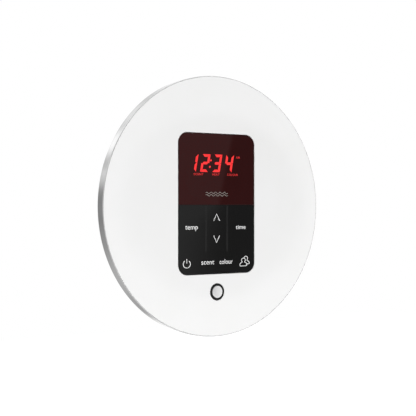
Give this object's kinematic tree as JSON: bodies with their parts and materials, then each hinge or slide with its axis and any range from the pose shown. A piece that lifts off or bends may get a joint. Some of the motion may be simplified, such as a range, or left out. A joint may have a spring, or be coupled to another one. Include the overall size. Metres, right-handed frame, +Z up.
{
  "type": "wall thermostat",
  "caption": "Round wall control with a white face in a polished bezel, a lit red display, pressing keys and a temperature sensor, held to a wall bracket.",
  "frame": {"origin": "the point on the wall plane behind the centre of the round face", "axes": "+X to the right as a user faces the control, +Y into the wall, +Z up; the face looks along -Y"},
  "size_m": [0.146, 0.0314, 0.146],
  "materials": {
    "polished_bezel": "polished",
    "white_gloss": "smooth gloss white",
    "bonding_tape": "foam tape",
    "white_plastic": "moulded, fine texture",
    "black_plastic": "moulded, fine texture",
    "black_film": "smooth satin film",
    "key_plastic": "moulded",
    "red_window": "polished dark red acrylic",
    "black_rubber": "moulded silicone",
    "grey_rubber": "closed-cell foam or silicone",
    "stainless_sheet": "brushed",
    "zinc_steel": "zinc plated",
    "nickel_magnet": "nickel plated",
    "circuit_board": "solder mask over glass fibre",
    "chip_black": "moulded",
    "can_aluminium": "drawn can",
    "sensor_steel": "fine blasted stainless",
    "sensor_bead": "epoxy bead",
    "lit_display": "lit red digits"
  },
  "bodies": {
    "wall_plate": {"wall_bracket": "stainless_sheet", "wall_screw_1": "zinc_steel", "wall_screw_2": "zinc_steel", "wall_screw_3": "zinc_steel", "wall_screw_4": "zinc_steel"},
    "control_head": {"wall_seal": "grey_rubber", "bezel_ring": "polished_bezel", "face_disc": "white_gloss", "bonding_sheet": "bonding_tape", "carrier_plate": "white_plastic", "display_window": "red_window", "keypad_film": "black_film", "keypad_frame": "black_plastic", "panel_seal": "black_rubber", "housing": "black_plastic", "rear_seal": "grey_rubber", "rear_cover": "black_plastic", "light_shield": "black_plastic", "led_display": "lit_display", "display_board": "circuit_board", "main_board": "circuit_board", "board_header": "chip_black", "controller_chip": "chip_black", "capacitor": "can_aluminium", "buzzer": "chip_black", "cable_socket": "chip_black", "sensor_cap": "sensor_steel", "sensor_grommet": "black_rubber", "sensor_nut": "stainless_sheet", "thermistor": "sensor_bead", "sensor_lead": "grey_rubber", "rear_screw_1": "zinc_steel", "carrier_screw_1": "zinc_steel", "magnet_1": "nickel_magnet", "rear_screw_2": "zinc_steel", "carrier_screw_2": "zinc_steel", "magnet_2": "nickel_magnet", "rear_screw_3": "zinc_steel", "carrier_screw_3": "zinc_steel", "magnet_3": "nickel_magnet", "rear_screw_4": "zinc_steel", "carrier_screw_4": "zinc_steel", "magnet_4": "nickel_magnet", "switch_temp": "chip_black", "switch_time": "chip_black", "switch_up": "chip_black", "switch_down": "chip_black", "switch_power": "chip_black", "switch_scent": "chip_black", "switch_colour": "chip_black", "switch_users": "chip_black"},
    "temp_key": {"key_temp": "key_plastic"},
    "time_key": {"key_time": "key_plastic"},
    "up_key": {"key_up": "key_plastic"},
    "down_key": {"key_down": "key_plastic"},
    "power_key": {"key_power": "key_plastic"},
    "scent_key": {"key_scent": "key_plastic"},
    "colour_key": {"key_colour": "key_plastic"},
    "users_key": {"key_users": "key_plastic"}
  },
  "joints": [
    {"name": "head_removal", "type": "slide", "parent": "wall_plate", "child": "control_head", "axis": [0, -1, 0], "range_m": [0, 0.03]},
    {"name": "temp_press", "type": "slide", "parent": "control_head", "child": "temp_key", "axis": [0, 1, 0], "range_m": [0, 0.0004], "stiffness_N_per_m": 2000, "springref_m": -0.0004},
    {"name": "time_press", "type": "slide", "parent": "control_head", "child": "time_key", "axis": [0, 1, 0], "range_m": [0, 0.0004], "stiffness_N_per_m": 2000, "springref_m": -0.0004},
    {"name": "up_press", "type": "slide", "parent": "control_head", "child": "up_key", "axis": [0, 1, 0], "range_m": [0, 0.0004], "stiffness_N_per_m": 2000, "springref_m": -0.0004},
    {"name": "down_press", "type": "slide", "parent": "control_head", "child": "down_key", "axis": [0, 1, 0], "range_m": [0, 0.0004], "stiffness_N_per_m": 2000, "springref_m": -0.0004},
    {"name": "power_press", "type": "slide", "parent": "control_head", "child": "power_key", "axis": [0, 1, 0], "range_m": [0, 0.0004], "stiffness_N_per_m": 2000, "springref_m": -0.0004},
    {"name": "scent_press", "type": "slide", "parent": "control_head", "child": "scent_key", "axis": [0, 1, 0], "range_m": [0, 0.0004], "stiffness_N_per_m": 2000, "springref_m": -0.0004},
    {"name": "colour_press", "type": "slide", "parent": "control_head", "child": "colour_key", "axis": [0, 1, 0], "range_m": [0, 0.0004], "stiffness_N_per_m": 2000, "springref_m": -0.0004},
    {"name": "users_press", "type": "slide", "parent": "control_head", "child": "users_key", "axis": [0, 1, 0], "range_m": [0, 0.0004], "stiffness_N_per_m": 2000, "springref_m": -0.0004}
  ]
}
